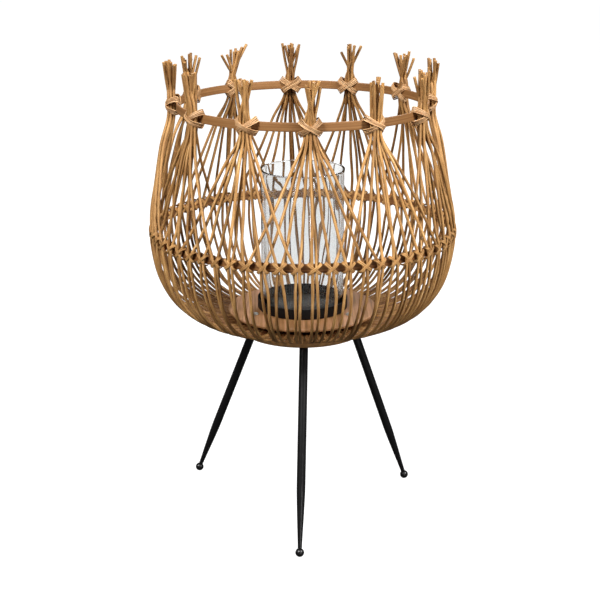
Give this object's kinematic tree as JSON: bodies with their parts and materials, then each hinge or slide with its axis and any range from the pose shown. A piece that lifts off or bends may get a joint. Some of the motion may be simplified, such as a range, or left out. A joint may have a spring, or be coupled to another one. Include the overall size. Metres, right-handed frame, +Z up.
{
  "type": "candle lantern",
  "caption": "Open wicker bowl of gathered rods round a glass cylinder, on a black steel tripod with ball feet.",
  "frame": {"origin": "on the floor under the middle of the lantern", "axes": "+Z up, the front leg points to -Y, +X to the right"},
  "size_m": [0.4228, 0.4228, 0.6412],
  "materials": {
    "peeled_rod": "peeled willow or rattan rod, satin, honey brown",
    "split_cane": "split cane, grooved, pale",
    "bamboo_strip": "flat bamboo strip, satin",
    "stained_board": "stained veneered board, matt",
    "black_steel": "satin black powder coat",
    "zinc_steel": "zinc plated, worn",
    "clear_glass": "clear blown glass"
  },
  "bodies": {
    "basket": {"rod_sheaf_01": "peeled_rod", "rod_sheaf_02": "peeled_rod", "rod_sheaf_03": "peeled_rod", "rod_sheaf_04": "peeled_rod", "rod_sheaf_05": "peeled_rod", "rod_sheaf_06": "peeled_rod", "rod_sheaf_07": "peeled_rod", "rod_sheaf_08": "peeled_rod", "rod_sheaf_09": "peeled_rod", "rod_sheaf_10": "peeled_rod", "rod_sheaf_11": "peeled_rod", "rod_sheaf_12": "peeled_rod", "top_binding_01": "split_cane", "top_binding_02": "split_cane", "top_binding_03": "split_cane", "top_binding_04": "split_cane", "top_binding_05": "split_cane", "top_binding_06": "split_cane", "top_binding_07": "split_cane", "top_binding_08": "split_cane", "top_binding_09": "split_cane", "top_binding_10": "split_cane", "top_binding_11": "split_cane", "top_binding_12": "split_cane", "belly_lashing": "split_cane", "top_hoop": "bamboo_strip", "belly_hoop": "bamboo_strip", "base_rim": "bamboo_strip", "clamp_ring": "bamboo_strip", "floor_board": "stained_board", "mounting_plate": "black_steel", "leg_tube_front": "black_steel", "leg_tube_right": "black_steel", "leg_tube_left": "black_steel", "leg_stud_front": "black_steel", "leg_stud_right": "black_steel", "leg_stud_left": "black_steel", "leg_socket_front": "black_steel", "leg_socket_right": "black_steel", "leg_socket_left": "black_steel", "ball_foot_front": "black_steel", "ball_foot_right": "black_steel", "ball_foot_left": "black_steel", "floor_bolt_1": "zinc_steel", "bolt_nut_1": "zinc_steel", "floor_bolt_2": "zinc_steel", "bolt_nut_2": "zinc_steel", "floor_bolt_3": "zinc_steel", "bolt_nut_3": "zinc_steel"},
    "dish": {"candle_dish": "black_steel"},
    "glass": {"glass_cylinder": "clear_glass"}
  },
  "joints": [
    {"name": "dish_lift", "type": "slide", "parent": "basket", "child": "dish", "axis": [0, 0, 1], "range_m": [0, 0.36]},
    {"name": "glass_lift", "type": "slide", "parent": "dish", "child": "glass", "axis": [0, 0, 1], "range_m": [0, 0.35]}
  ]
}
